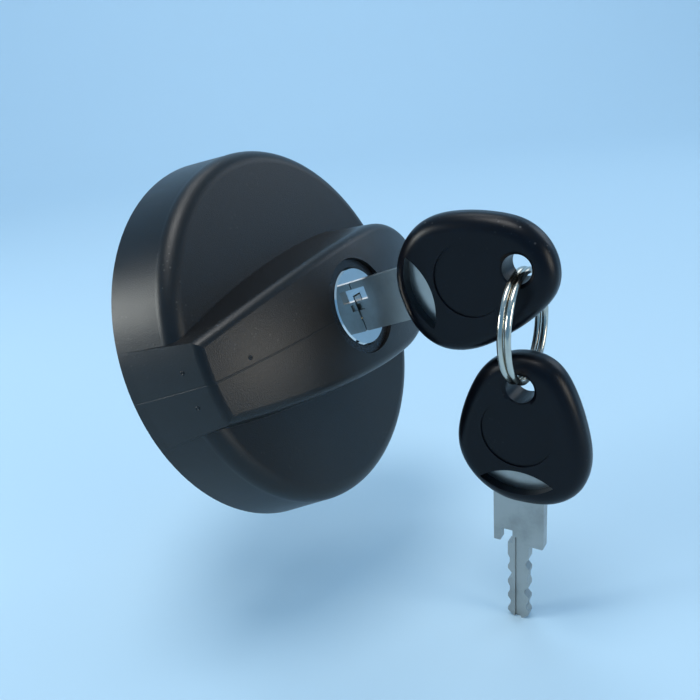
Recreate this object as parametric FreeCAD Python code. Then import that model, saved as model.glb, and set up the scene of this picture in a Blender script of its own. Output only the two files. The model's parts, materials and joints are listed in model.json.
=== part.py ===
import FreeCAD, Part
import math
import os

from FreeCAD import Placement, Rotation, Vector

os.makedirs("parts", exist_ok=True)

# The cap is drawn about its own axis: x along the grip, y up the face, z outward from the filler neck.
# z is zero on the plane where the gasket and the skirt's back rim meet the neck.
# Everything is then leaned back with the neck, so that +Z is up and the keys hang plumb.
NECK_TILT = 18.0

# Skirt and face of the outer moulding
CAP_DIAMETER = 80.0
SKIRT_HEIGHT = 14.4
SKIRT_DRAFT = 1.5
FACE_EDGE_RADIUS = 3.5
COVER_WALL = 2.4

# Grip moulded across the face: narrow at the near end, full and round around and past the lock
GRIP_HALF_WIDTH = 14.6
GRIP_WIDEST_AT = 13.0
GRIP_NEAR_HALF_WIDTH = 7.6
GRIP_NEAR_INSET = 4.0
GRIP_OUTLINE_SPARE = 10.0
GRIP_FAR_INSET = 2.7
GRIP_WIDTH_LEVEL = 24.0
GRIP_CREST_HEIGHT = 29.4
GRIP_CREST_AT = 4.0
GRIP_CROWN_RADIUS = 91.0
GRIP_DRAFT_ANGLE = 8.0
GRIP_EDGE_RADIUS = 2.2

# Lock barrel in the middle of the grip
LOCK_FACE_HEIGHT = 28.46
ROTOR_FACE_RADIUS = 8.16
ROTOR_FACE_PLATE = 0.8
ROTOR_FACE_DEPTH = 1.5
ROTOR_HEAD_RADIUS = 7.8
ROTOR_RADIUS = 7.4
RUNNING_CLEARANCE = 0.05
HOUSING_RADIUS = 9.0
HOUSING_FLANGE_RADIUS = 9.9
HOUSING_FLANGE_THICKNESS = 1.9
HOUSING_SUNK = 0.36
HOUSING_BACK = 2.7
LOCK_BOSS_RADIUS = 12.2
LOCK_BOSS_BACK = 9.0
FIT_GAP = 0.1
CLIP_THICKNESS = 1.0
CLIP_WIDTH = 2.8
CLIP_GROOVE_DEPTH = 0.6

# Wafers, their springs and the seal of the rotor
WAFER_COUNT = 5
WAFER_PITCH = 3.0
WAFER_THICKNESS = 1.0
WAFER_WIDTH = 5.8
WAFER_LENGTH = 13.4
WAFER_SLOT_GAP = 0.1
WAFER_FIRST_DEPTH = 4.0
WAFER_TAB = 2.4
WAFER_SPRING_RADIUS = 0.7
WAFER_SPRING_WIRE = 0.15
WAFER_SPRING_TURNS = 3
WAFER_SPRING_LENGTH = 3.4
SPRING_TURN_STEPS = 8
RING_SEAL_SECTION = 0.55
RING_SEAL_LEVEL = 8.0

# Cam that turns with the rotor and draws the bolt in
CAM_RADIUS = 12.5
CAM_THICKNESS = 2.0
CAM_SQUARE = 6.0
BOLT_STROKE = 4.0
KEY_TURN = 90.0
BOLT_PIN_RADIUS = 1.2
BOLT_PIN_AT = 10.5
PIN_CLEARANCE = 0.06
CAM_SLOT_STEPS = 6
CAM_SCREW_RADIUS = 1.5
CAM_SCREW_HEAD_RADIUS = 2.8
CAM_SCREW_HEAD_HEIGHT = 2.0
CAM_SCREW_DEPTH = 5.0
BOLT_WIDTH = 8.0
BOLT_THICKNESS = 4.1
BOLT_UNDER_CAM = 0.9
BOLT_BACK_END = 7.5
BOLT_TIP_CHAMFER = 1.2

# Plug that enters the neck, with its two bayonet lugs
BARREL_RADIUS = 21.0
BARREL_WALL = 2.0
PLUG_DEPTH = 18.0
PLUG_DECK_THICKNESS = 3.0
FLANGE_RADIUS = 28.5
FLANGE_THICKNESS = 3.0
GASKET_THICKNESS = 3.0
GASKET_RELIEF = 0.6
LUG_RADIUS = 25.5
LUG_THICKNESS = 3.2
LUG_FACE_DEPTH = 12.8
LUG_SPAN = 44.0
LUG_LEAD_CHAMFER = 0.8
PLUG_BASE_THICKNESS = 1.8
PLUG_BASE_RIM_HEIGHT = 5.0
PLUG_BASE_RIM_WALL = 1.7
CARRIER_THICKNESS = 3.0
RAIL_WIDTH = 2.4
RAIL_INNER_END = 4.0

# Screws from the plug into the cover, and from the bolt carrier into the plug
COVER_SCREW_WALL_GAP = 0.2
COVER_SCREW_ANGLES = (45.0, 135.0, 225.0, 315.0)
COVER_SCREW_RADIUS = 1.4
COVER_SCREW_HEAD_RADIUS = 2.7
COVER_SCREW_HEAD_HEIGHT = 2.4
COVER_SCREW_LENGTH = 10.0
PILLAR_RADIUS = 3.0
CARRIER_BOSS_WALL_GAP = 0.2
CARRIER_SCREW_RADIUS = 1.2
CARRIER_SCREW_HEAD_RADIUS = 2.4
CARRIER_SCREW_HEAD_HEIGHT = 1.8
CARRIER_SCREW_LENGTH = 8.0
CARRIER_BOSS_RADIUS = 2.5
CARRIER_SCREW_ANGLES = (0.0, 180.0, 270.0)
RECESS_REACH = 0.6

# Keys: drawn with x from the ring hole towards the tip, y across towards the fuller side of the bow
KEY_SHOULDER = 36.0
KEY_LENGTH = 54.5
SHANK_WIDTH = 10.5
SHANK_OFFSET = -0.9
BLADE_THICKNESS = 2.2
BIT_WIDTH = 4.5
BIT_TIP_WIDTH = 2.0
BIT_TIP_TAPER = 2.2
BOW_THICKNESS = 7.0
BOW_EDGE_RADIUS = 3.1
BOW_HOLE_RADIUS = 2.8
BOW_HOLE_CHAMFER = 0.6
BOW_DISC_RADIUS = 7.2
BOW_DISC_DEPTH = 0.35
BOW_DISC_AT = (9.1, -0.5)
BOW_OUTLINE = (
    (25.4, -0.8),
    (24.1, -6.3),
    (20.6, -10.7),
    (15.3, -13.3),
    (8.5, -12.9),
    (1.8, -10.6),
    (-3.6, -7.1),
    (-6.5, -0.7),
    (-5.0, 5.7),
    (0.4, 9.6),
    (7.4, 12.0),
    (14.0, 13.0),
    (20.6, 11.2),
    (24.4, 6.4),
)
WINDOW_TOP = (20.2, -8.1)
WINDOW_BOTTOM = (19.6, 6.8)
WINDOW_INNER_BULGE = 17.4
WINDOW_OUTER_BULGE = 22.5
HEAD_START = 6.7
HEAD_END = 23.7
HEAD_WIDTH = 16.4
HEAD_TAPER_START = 19.3
HEAD_TAPER = 3.2
NOTCH_WIDTH = 2.6
NOTCH_DEPTH = 3.0
PRONG_WIDTH = 1.4
SHOULDER_CHAMFER = 0.3
GROOVE_WIDTH = 1.4
GROOVE_DEPTH = 0.5
GROOVE_LEAD = 1.5
BITTING_FAR_SIDE = (0.7, 0.3, 0.9, 0.5)
BITTING_NEAR_SIDE = (0.4, 0.8, 0.4, 0.6)
BITTING_START = 3.0
BITTING_PITCH = 3.6
BITTING_FLAT = 1.0
KEYWAY_GAP = 0.15
KEYWAY_END_GAP = 1.0
KEY_SEAT_GAP = 0.1

# Split ring: two turns of round wire with a step from one turn to the other
RING_OUTER_DIAMETER = 22.0
RING_WIRE = 1.25
RING_TURN_GAP = 0.1
RING_STEP_ANGLE = 60.0
RING_STEP_SHAPE = ((-1.0, -0.5), (-0.5, -0.34), (0.0, 0.0), (0.5, 0.34), (1.0, 0.5))
RING_HANG = 1.2
RING_STEP_AT = 38.0

STEEL_DENSITY = 7850.0
BOW_DENSITY = 1050.0

# Values worked out from the sizes above
CAP_RADIUS = CAP_DIAMETER / 2
GRIP_NEAR_AT = GRIP_NEAR_INSET - CAP_RADIUS
GRIP_OUTLINE_START = -CAP_RADIUS - GRIP_OUTLINE_SPARE
GRIP_FAR_REACH = CAP_RADIUS - GRIP_FAR_INSET
DRAFT_SLOPE = SKIRT_DRAFT / SKIRT_HEIGHT
FACE_INSIDE = SKIRT_HEIGHT - COVER_WALL
GRIP_DRAFT_SLOPE = math.tan(math.radians(GRIP_DRAFT_ANGLE))
HOUSING_TOP = LOCK_FACE_HEIGHT - HOUSING_SUNK
HOUSING_SEAT = HOUSING_TOP - HOUSING_FLANGE_THICKNESS
ROTOR_HEAD_TOP = LOCK_FACE_HEIGHT - ROTOR_FACE_PLATE
ROTOR_HEAD_SEAT = LOCK_FACE_HEIGHT - ROTOR_FACE_DEPTH
ROTOR_BORE = ROTOR_RADIUS + RUNNING_CLEARANCE
CAM_TOP = HOUSING_BACK - FIT_GAP
CAM_BACK = CAM_TOP - CAM_THICKNESS
BOLT_TOP = CAM_BACK - BOLT_UNDER_CAM
BOLT_BOTTOM = BOLT_TOP - BOLT_THICKNESS
CARRIER_TOP = BOLT_BOTTOM - RUNNING_CLEARANCE
BARREL_BORE = BARREL_RADIUS - BARREL_WALL
COVER_SCREW_CIRCLE = BARREL_BORE - COVER_SCREW_HEAD_RADIUS - COVER_SCREW_WALL_GAP
CARRIER_SCREW_CIRCLE = BARREL_BORE - CARRIER_BOSS_RADIUS - CARRIER_BOSS_WALL_GAP
DECK_BACK = LOCK_BOSS_BACK - PLUG_DECK_THICKNESS
BIT_DEPTH = KEY_LENGTH - KEY_SHOULDER
KEYWAY_END = LOCK_FACE_HEIGHT - BIT_DEPTH - KEYWAY_END_GAP
RING_RADIUS = (RING_OUTER_DIAMETER - RING_WIRE) / 2
RING_PITCH = RING_WIRE + RING_TURN_GAP

AXIS = Vector(0, 0, 1)
ORIGIN = Vector(0, 0, 0)
FAR = 60.0


def turned(points):
    """Solid of revolution about the z axis from a closed profile of (radius, height) corners."""
    corners = [Vector(radius, 0, height) for radius, height in points]
    outline = Part.makePolygon(corners + corners[:1])
    return Part.Face(outline).revolve(ORIGIN, AXIS, 360)


def disc(radius, low, high, x=0.0, y=0.0):
    """Cylinder about a line parallel to the cap's axis."""
    return Part.makeCylinder(radius, high - low, Vector(x, y, low), AXIS)


def tube(outer, inner, low, high):
    """Plain ring about the cap's axis."""
    return disc(outer, low, high).cut(disc(inner, low - FIT_GAP, high + FIT_GAP))


def block(x_low, x_high, y_low, y_high, z_low, z_high):
    """Rectangular solid between two corners."""
    return Part.makeBox(x_high - x_low, y_high - y_low, z_high - z_low, Vector(x_low, y_low, z_low))


def on_circle(radius, angle):
    """Point of the face plane at a radius and an angle in degrees."""
    turn = math.radians(angle)
    return radius * math.cos(turn), radius * math.sin(turn)


def skirt_radius(height):
    """Outer radius of the drafted skirt at a height, also above its own top."""
    return CAP_RADIUS - DRAFT_SLOPE * height


def grip_outline(growth, height):
    """Plan outline of the grip, moved outward by growth, as one closed wire."""
    half = GRIP_HALF_WIDTH + growth
    near_half = GRIP_NEAR_HALF_WIDTH + growth
    run = GRIP_WIDEST_AT - GRIP_NEAR_AT
    drop = half - near_half
    side_radius = (run * run + drop * drop) / (2 * drop)
    start_drop = side_radius - math.sqrt(side_radius ** 2 - (GRIP_WIDEST_AT - GRIP_OUTLINE_START) ** 2)
    mid_x = (GRIP_OUTLINE_START + GRIP_WIDEST_AT) / 2
    mid_drop = side_radius - math.sqrt(side_radius ** 2 - (GRIP_WIDEST_AT - mid_x) ** 2)
    widest = Vector(GRIP_WIDEST_AT, half, height)
    near = Vector(GRIP_OUTLINE_START, half - start_drop, height)
    middle = Vector(mid_x, half - mid_drop, height)
    reach = GRIP_FAR_REACH + growth - GRIP_WIDEST_AT
    far_end = Part.Ellipse(
        Vector(GRIP_WIDEST_AT + reach, 0, height),
        Vector(GRIP_WIDEST_AT, half, height),
        Vector(GRIP_WIDEST_AT, 0, height),
    )
    upper = Part.Arc(near, middle, widest).toShape()
    lower = upper.mirror(ORIGIN, Vector(0, 1, 0))
    nose = Part.ArcOfEllipse(far_end, -math.pi / 2, math.pi / 2).toShape()
    closing = Part.makeLine(near, Vector(near.x, -near.y, near.z))
    return Part.Wire(Part.__sortEdges__([upper, nose, lower, closing]))


def grip_form(inset):
    """Grip as a solid from inside the skirt to its arched top, drawn in from the outside by inset."""
    low = COVER_WALL
    high = GRIP_CREST_HEIGHT + COVER_WALL
    low_growth = (GRIP_WIDTH_LEVEL - low) * GRIP_DRAFT_SLOPE - inset
    high_growth = (GRIP_WIDTH_LEVEL - high) * GRIP_DRAFT_SLOPE - inset
    walls = Part.makeLoft([grip_outline(low_growth, low), grip_outline(high_growth, high)], True, True)
    ends = Part.makeCone(skirt_radius(low) - inset, skirt_radius(high) - inset, high - low, Vector(0, 0, low))
    crown_radius = GRIP_CROWN_RADIUS - inset
    crown = Part.makeSphere(crown_radius, Vector(GRIP_CREST_AT, 0, GRIP_CREST_HEIGHT - GRIP_CROWN_RADIUS))
    return walls.common(ends).common(crown)


def edges_above(shape, level):
    """Edges that lie wholly above a level."""
    return [edge for edge in shape.Edges if edge.BoundBox.ZMin > level]


def skirt_and_face():
    """Drafted cup of the cover with its rounded face edge, closed at the face."""
    arc_turn = math.pi / 4
    radius = FACE_EDGE_RADIUS
    top_radius = skirt_radius(SKIRT_HEIGHT)
    arc_centre = Vector(top_radius - radius, 0, SKIRT_HEIGHT - radius)
    shoulder = Vector(top_radius, 0, SKIRT_HEIGHT - radius)
    bend = arc_centre + Vector(radius * math.cos(arc_turn), 0, radius * math.sin(arc_turn))
    rim = Vector(arc_centre.x, 0, SKIRT_HEIGHT)
    foot = Vector(CAP_RADIUS, 0, 0)
    middle = Vector(0, 0, SKIRT_HEIGHT)
    edges = [
        Part.makeLine(ORIGIN, foot),
        Part.makeLine(foot, shoulder),
        Part.Arc(shoulder, bend, rim).toShape(),
        Part.makeLine(rim, middle),
        Part.makeLine(middle, ORIGIN),
    ]
    return Part.Face(Part.Wire(edges)).revolve(ORIGIN, AXIS, 360)


def skirt_cavity():
    """Hollow inside the skirt, following its draft, with a bevelled inner corner."""
    corner = COVER_WALL / 2
    low_radius = skirt_radius(0) - COVER_WALL
    high_radius = skirt_radius(FACE_INSIDE) - COVER_WALL
    return turned([
        (0, -FIT_GAP),
        (low_radius, -FIT_GAP),
        (high_radius, FACE_INSIDE - corner),
        (high_radius - corner, FACE_INSIDE),
        (0, FACE_INSIDE),
    ])


def cover_screw_places():
    """The four screw places round the lock."""
    return [on_circle(COVER_SCREW_CIRCLE, angle) for angle in COVER_SCREW_ANGLES]


def grip_cover():
    """Outer moulding: skirt, face and hollow grip, with the lock boss and the screw pillars inside."""
    grip = grip_form(0)
    grip = grip.makeFillet(GRIP_EDGE_RADIUS, edges_above(grip, SKIRT_HEIGHT + COVER_WALL))
    body = skirt_and_face()
    outer = body.fuse(grip).removeSplitter()
    hollow = skirt_cavity().fuse(grip_form(COVER_WALL))
    bosses = disc(LOCK_BOSS_RADIUS, LOCK_BOSS_BACK, FAR)
    for x, y in cover_screw_places():
        bosses = bosses.fuse(disc(PILLAR_RADIUS, LOCK_BOSS_BACK, FAR, x, y))
    cover = outer.cut(hollow).fuse(outer.common(bosses))
    cover = cover.cut(disc(HOUSING_RADIUS + FIT_GAP, 0, FAR))
    cover = cover.cut(disc(HOUSING_FLANGE_RADIUS + FIT_GAP, HOUSING_SEAT, FAR))
    pilot_end = DECK_BACK + COVER_SCREW_LENGTH
    for x, y in cover_screw_places():
        cover = cover.cut(disc(COVER_SCREW_RADIUS, 0, pilot_end, x, y))
    return cover.removeSplitter()


def lock_housing():
    """Die-cast barrel pressed into the grip, with the two channels that the wafers drop into."""
    groove_low = LOCK_BOSS_BACK - FIT_GAP - CLIP_THICKNESS
    groove_high = LOCK_BOSS_BACK - FIT_GAP
    groove = HOUSING_RADIUS - CLIP_GROOVE_DEPTH
    housing = turned([
        (ROTOR_BORE, HOUSING_BACK),
        (HOUSING_RADIUS, HOUSING_BACK),
        (HOUSING_RADIUS, groove_low),
        (groove, groove_low),
        (groove, groove_high),
        (HOUSING_RADIUS, groove_high),
        (HOUSING_RADIUS, HOUSING_SEAT),
        (HOUSING_FLANGE_RADIUS, HOUSING_SEAT),
        (HOUSING_FLANGE_RADIUS, HOUSING_TOP),
        (ROTOR_FACE_RADIUS + FIT_GAP, HOUSING_TOP),
        (ROTOR_FACE_RADIUS + FIT_GAP, ROTOR_HEAD_SEAT - RUNNING_CLEARANCE),
        (ROTOR_BORE, ROTOR_HEAD_SEAT - RUNNING_CLEARANCE),
    ])
    half = WAFER_WIDTH / 2 + WAFER_SLOT_GAP + KEYWAY_GAP
    reach = (ROTOR_BORE + HOUSING_RADIUS) / 2
    low = RING_SEAL_LEVEL + WAFER_THICKNESS * 2
    channel = block(-half, half, -reach, reach, low, ROTOR_HEAD_SEAT - WAFER_THICKNESS)
    return housing.cut(channel)


def housing_clip():
    """Open retaining ring that holds the barrel against the lock boss."""
    high = LOCK_BOSS_BACK - FIT_GAP
    inner = HOUSING_RADIUS - CLIP_GROOVE_DEPTH
    ring = tube(inner + CLIP_WIDTH, inner, high - CLIP_THICKNESS, high)
    mouth = inner / 2
    return ring.cut(block(-mouth, mouth, 0, FAR, 0, FAR))


def wafer_levels():
    """Heights of the wafers' middles, from the face inward."""
    first = LOCK_FACE_HEIGHT - WAFER_FIRST_DEPTH
    return [first - WAFER_PITCH * index for index in range(WAFER_COUNT)]


def wafer_tab_middle():
    """Distance from the axis to the middle of a wafer's spring tab."""
    return WAFER_WIDTH / 2 + WAFER_TAB / 2


def keyway(gap):
    """Space of the narrow bit, widened all round by gap."""
    half_x = BLADE_THICKNESS / 2 + gap
    half_y = BIT_WIDTH / 2 + gap
    return block(-half_x, half_x, -half_y, half_y, KEYWAY_END, FAR)


def wafer_solid(level, growth):
    """One wafer with its spring tab, before its key window is cut."""
    half_x = WAFER_WIDTH / 2 + growth
    half_y = WAFER_LENGTH / 2 + growth * 4
    half_z = WAFER_THICKNESS / 2 + growth / 2
    plate = block(-half_x, half_x, -half_y, half_y, level - half_z, level + half_z)
    tab_end = WAFER_WIDTH / 2 + WAFER_TAB + growth
    tab_half = WAFER_THICKNESS / 2 + growth
    tab = block(0, tab_end, -tab_half - WAFER_THICKNESS, tab_half - WAFER_THICKNESS, level - half_z, level + half_z)
    return plate.fuse(tab)


def lock_rotor():
    """Turning plug of the lock: keyway, wafer slots, spring pockets, seal groove and square drive."""
    seal_low = RING_SEAL_LEVEL - RING_SEAL_SECTION
    seal_high = RING_SEAL_LEVEL + RING_SEAL_SECTION
    seal_root = ROTOR_RADIUS - 2 * RING_SEAL_SECTION
    rotor = turned([
        (0, CAM_TOP),
        (ROTOR_RADIUS, CAM_TOP),
        (ROTOR_RADIUS, seal_low),
        (seal_root, seal_low),
        (seal_root, seal_high),
        (ROTOR_RADIUS, seal_high),
        (ROTOR_RADIUS, ROTOR_HEAD_SEAT),
        (ROTOR_HEAD_RADIUS, ROTOR_HEAD_SEAT),
        (ROTOR_HEAD_RADIUS, ROTOR_HEAD_TOP),
        (0, ROTOR_HEAD_TOP),
    ])
    half = CAM_SQUARE / 2
    rotor = rotor.fuse(block(-half, half, -half, half, CAM_BACK, CAM_TOP))
    rotor = rotor.cut(keyway(KEYWAY_GAP))
    pocket_radius = WAFER_SPRING_RADIUS + WAFER_SPRING_WIRE + WAFER_SLOT_GAP
    pocket_start = -WAFER_THICKNESS
    for level in wafer_levels():
        rotor = rotor.cut(wafer_solid(level, WAFER_SLOT_GAP))
        pocket = Part.makeCylinder(
            pocket_radius,
            WAFER_SPRING_LENGTH + WAFER_THICKNESS,
            Vector(wafer_tab_middle(), pocket_start, level),
            Vector(0, 1, 0),
        )
        rotor = rotor.cut(pocket)
    return rotor.cut(disc(CAM_SCREW_RADIUS, 0, CAM_BACK + CAM_SCREW_DEPTH)).removeSplitter()


def rotor_face():
    """Polished pressed cap on the rotor's head, with the slot for the narrow bit."""
    bevel = FIT_GAP * 3
    cap = turned([
        (0, ROTOR_HEAD_TOP),
        (ROTOR_HEAD_RADIUS, ROTOR_HEAD_TOP),
        (ROTOR_HEAD_RADIUS, ROTOR_HEAD_SEAT),
        (ROTOR_FACE_RADIUS, ROTOR_HEAD_SEAT),
        (ROTOR_FACE_RADIUS, LOCK_FACE_HEIGHT - bevel),
        (ROTOR_FACE_RADIUS - bevel, LOCK_FACE_HEIGHT),
        (0, LOCK_FACE_HEIGHT),
    ])
    return cap.cut(keyway(KEYWAY_GAP * 2))


def rotor_seal():
    """Small ring seal in the rotor's groove."""
    mean = ROTOR_RADIUS - RING_SEAL_SECTION + RUNNING_CLEARANCE / 2
    return Part.makeTorus(mean, RING_SEAL_SECTION, Vector(0, 0, RING_SEAL_LEVEL), AXIS)


def wafers():
    """Flat wafers, each with the window that the bit passes through."""
    window = keyway(KEYWAY_GAP * 2)
    return Part.makeCompound([wafer_solid(level, 0).cut(window) for level in wafer_levels()])


def coil(radius, wire, turns, length):
    """Small helical spring about the z axis, from zero up to the length, in straight runs of square wire."""
    steps = turns * SPRING_TURN_STEPS
    rise = (length - 2 * wire) / steps
    points = []
    for step in range(steps + 1):
        x, y = on_circle(radius, step * 360 / SPRING_TURN_STEPS)
        points.append(Vector(x, y, wire + rise * step))
    corners = [
        Vector(radius - wire, 0, 0),
        Vector(radius + wire, 0, 0),
        Vector(radius + wire, 0, 2 * wire),
        Vector(radius - wire, 0, 2 * wire),
    ]
    section = Part.makePolygon(corners + corners[:1])
    return Part.makePolygon(points).makePipeShell([section], True, False, 1)


def wafer_springs():
    """One small coil behind each wafer's tab."""
    springs = []
    for level in wafer_levels():
        spring = coil(WAFER_SPRING_RADIUS, WAFER_SPRING_WIRE, WAFER_SPRING_TURNS, WAFER_SPRING_LENGTH)
        spring.rotate(ORIGIN, Vector(1, 0, 0), -90)
        spring.translate(Vector(wafer_tab_middle(), -WAFER_THICKNESS / 2, level))
        springs.append(spring)
    return Part.makeCompound(springs)


def cam_slot():
    """Spiral slot that moves the bolt's pin in by an equal amount for each degree of key turn."""
    half = BOLT_PIN_RADIUS + PIN_CLEARANCE
    rise = BOLT_STROKE / math.radians(KEY_TURN)
    outer = []
    inner = []
    for step in range(CAM_SLOT_STEPS + 1):
        turn = math.radians(KEY_TURN) * step / CAM_SLOT_STEPS
        radius = BOLT_PIN_AT - rise * turn
        angle = math.pi / 2 + turn
        radial = Vector(math.cos(angle), math.sin(angle), 0)
        around = Vector(-math.sin(angle), math.cos(angle), 0)
        heading = around * radius - radial * rise
        heading.normalize()
        side = heading.cross(AXIS) * half
        centre = radial * radius + Vector(0, 0, CAM_BACK)
        outer.append(centre + side)
        inner.append(centre - side)
    edges = []
    for points in (outer, inner):
        curve = Part.BSplineCurve()
        curve.interpolate(points)
        edges.append(curve.toShape())
    edges.append(Part.makeLine(outer[0], inner[0]))
    edges.append(Part.makeLine(outer[-1], inner[-1]))
    slot = Part.Face(Part.Wire(Part.__sortEdges__(edges))).extrude(AXIS * CAM_THICKNESS)
    start = disc(half, CAM_BACK, CAM_TOP, 0, BOLT_PIN_AT)
    end = disc(half, CAM_BACK, CAM_TOP, BOLT_STROKE - BOLT_PIN_AT, 0)
    return slot.fuse(start).fuse(end)


def cam():
    """Cam plate on the rotor's square."""
    half = CAM_SQUARE / 2
    plate = disc(CAM_RADIUS, CAM_BACK, CAM_TOP)
    return plate.cut(block(-half, half, -half, half, CAM_BACK, CAM_TOP)).cut(cam_slot())


def cam_screw():
    """Screw that holds the cam on the rotor."""
    head = disc(CAM_SCREW_HEAD_RADIUS, CAM_BACK - CAM_SCREW_HEAD_HEIGHT, CAM_BACK)
    slot = CAM_SCREW_RADIUS / 3
    low = CAM_BACK - CAM_SCREW_HEAD_HEIGHT
    driver = block(-FAR, FAR, -slot, slot, low, low + CAM_SCREW_HEAD_HEIGHT / 3)
    return head.cut(driver).fuse(disc(CAM_SCREW_RADIUS, CAM_BACK, CAM_BACK + CAM_SCREW_DEPTH))


def lock_bolt():
    """Sliding bolt that reaches out through the barrel and stops the cap from being turned off."""
    half = BOLT_WIDTH / 2
    tip = BARREL_RADIUS + BOLT_STROKE
    bolt = block(-half, half, BOLT_BACK_END, tip, BOLT_BOTTOM, BOLT_TOP)
    ends = [
        edge for edge in bolt.Edges
        if abs(edge.CenterOfMass.y - tip) < FIT_GAP and abs(edge.CenterOfMass.x) > FIT_GAP
    ]
    bolt = bolt.makeChamfer(BOLT_TIP_CHAMFER, ends)
    return bolt.cut(disc(BOLT_PIN_RADIUS, BOLT_BOTTOM + BOLT_THICKNESS / 4, FAR, 0, BOLT_PIN_AT))


def bolt_pin():
    """Dowel in the bolt that runs in the cam's slot."""
    return disc(BOLT_PIN_RADIUS, BOLT_BOTTOM + BOLT_THICKNESS / 4, CAM_TOP - FIT_GAP, 0, BOLT_PIN_AT)


def carrier_screw_places():
    """The three screw places inside the barrel."""
    return [on_circle(CARRIER_SCREW_CIRCLE, angle) for angle in CARRIER_SCREW_ANGLES]


def plug_body():
    """Bayonet plug: barrel with its deck, sealing flange, two lugs, bolt window and screw bosses."""
    body = turned([
        (LOCK_BOSS_RADIUS + FIT_GAP, DECK_BACK),
        (BARREL_BORE, DECK_BACK),
        (BARREL_BORE, -PLUG_DEPTH),
        (BARREL_RADIUS, -PLUG_DEPTH),
        (BARREL_RADIUS, GASKET_THICKNESS),
        (FLANGE_RADIUS, GASKET_THICKNESS),
        (FLANGE_RADIUS, GASKET_THICKNESS + FLANGE_THICKNESS),
        (BARREL_RADIUS, GASKET_THICKNESS + FLANGE_THICKNESS),
        (BARREL_RADIUS, LOCK_BOSS_BACK),
        (LOCK_BOSS_RADIUS + FIT_GAP, LOCK_BOSS_BACK),
    ])
    lug_low = -LUG_FACE_DEPTH - LUG_THICKNESS
    ring = turned([
        (BARREL_BORE + BARREL_WALL / 2, lug_low),
        (LUG_RADIUS - LUG_LEAD_CHAMFER, lug_low),
        (LUG_RADIUS, lug_low + LUG_LEAD_CHAMFER),
        (LUG_RADIUS, -LUG_FACE_DEPTH),
        (BARREL_BORE + BARREL_WALL / 2, -LUG_FACE_DEPTH),
    ])
    for side in (0, 180):
        wedge = Part.makeCylinder(FAR, PLUG_DEPTH, Vector(0, 0, -PLUG_DEPTH), AXIS, LUG_SPAN)
        wedge.rotate(ORIGIN, AXIS, side - LUG_SPAN / 2)
        body = body.fuse(ring.common(wedge))
    for x, y in carrier_screw_places():
        boss = disc(CARRIER_BOSS_RADIUS, CARRIER_TOP, DECK_BACK, x, y)
        wall = disc(BARREL_RADIUS, CARRIER_TOP, DECK_BACK)
        body = body.fuse(boss.common(wall))
    for x, y in carrier_screw_places():
        body = body.cut(disc(CARRIER_SCREW_RADIUS, CARRIER_TOP, CARRIER_TOP + CARRIER_SCREW_LENGTH, x, y))
    for x, y in cover_screw_places():
        body = body.cut(disc(COVER_SCREW_RADIUS, DECK_BACK - FIT_GAP, LOCK_BOSS_BACK + FIT_GAP, x, y))
    half = BOLT_WIDTH / 2 + RUNNING_CLEARANCE
    low = BOLT_BOTTOM - RUNNING_CLEARANCE
    window = block(-half, half, BOLT_BACK_END, FAR, low, BOLT_TOP + RUNNING_CLEARANCE)
    return body.cut(window).removeSplitter()


def gasket():
    """Flat rubber gasket under the flange, relieved in the middle so that it seals on two rings."""
    inner = BARREL_RADIUS + RUNNING_CLEARANCE
    band = (FLANGE_RADIUS - inner) / 3
    return turned([
        (inner, GASKET_THICKNESS),
        (inner, 0),
        (inner + band, 0),
        (inner + band + GASKET_RELIEF, GASKET_RELIEF),
        (FLANGE_RADIUS - band - GASKET_RELIEF, GASKET_RELIEF),
        (FLANGE_RADIUS - band, 0),
        (FLANGE_RADIUS, 0),
        (FLANGE_RADIUS, GASKET_THICKNESS),
    ])


def pan_screw(x, y, seat, head_radius, head_height, radius, length):
    """Pan-head screw driven outward from its seat, with a cross recess."""
    head = disc(head_radius, seat - head_height, seat, x, y)
    rim = [edge for edge in head.Edges if abs(edge.CenterOfMass.z - (seat - head_height)) < FIT_GAP]
    head = head.makeChamfer(head_height / 3, rim)
    arm = head_radius * RECESS_REACH
    width = radius / 3
    depth = head_height / 2
    low = seat - head_height - FIT_GAP
    head = head.cut(block(x - arm, x + arm, y - width, y + width, low, low + depth))
    head = head.cut(block(x - width, x + width, y - arm, y + arm, low, low + depth))
    return head.fuse(disc(radius, seat, seat + length, x, y))


def cover_screws():
    """Four screws that hold the plug to the cover."""
    return Part.makeCompound([
        pan_screw(x, y, DECK_BACK, COVER_SCREW_HEAD_RADIUS, COVER_SCREW_HEAD_HEIGHT,
                  COVER_SCREW_RADIUS, COVER_SCREW_LENGTH)
        for x, y in cover_screw_places()
    ])


def carrier_screws():
    """Three screws that hold the bolt carrier in the plug."""
    seat = CARRIER_TOP - CARRIER_THICKNESS
    return Part.makeCompound([
        pan_screw(x, y, seat, CARRIER_SCREW_HEAD_RADIUS, CARRIER_SCREW_HEAD_HEIGHT,
                  CARRIER_SCREW_RADIUS, CARRIER_SCREW_LENGTH)
        for x, y in carrier_screw_places()
    ])


def bolt_carrier():
    """Disc inside the barrel with the two rails that guide the bolt."""
    low = CARRIER_TOP - CARRIER_THICKNESS
    radius = BARREL_BORE - RUNNING_CLEARANCE
    plate = disc(radius, low, CARRIER_TOP)
    inner = BOLT_WIDTH / 2 + RUNNING_CLEARANCE
    outer = inner + RAIL_WIDTH
    rails = block(-outer, outer, RAIL_INNER_END, FAR, CARRIER_TOP, BOLT_TOP)
    rails = rails.cut(block(-inner, inner, 0, FAR, CARRIER_TOP, BOLT_TOP))
    rails = rails.common(disc(radius, CARRIER_TOP, BOLT_TOP))
    carrier = plate.fuse(rails)
    for x, y in carrier_screw_places():
        carrier = carrier.cut(disc(CARRIER_SCREW_RADIUS, low, CARRIER_TOP, x, y))
    return carrier.removeSplitter()


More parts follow.
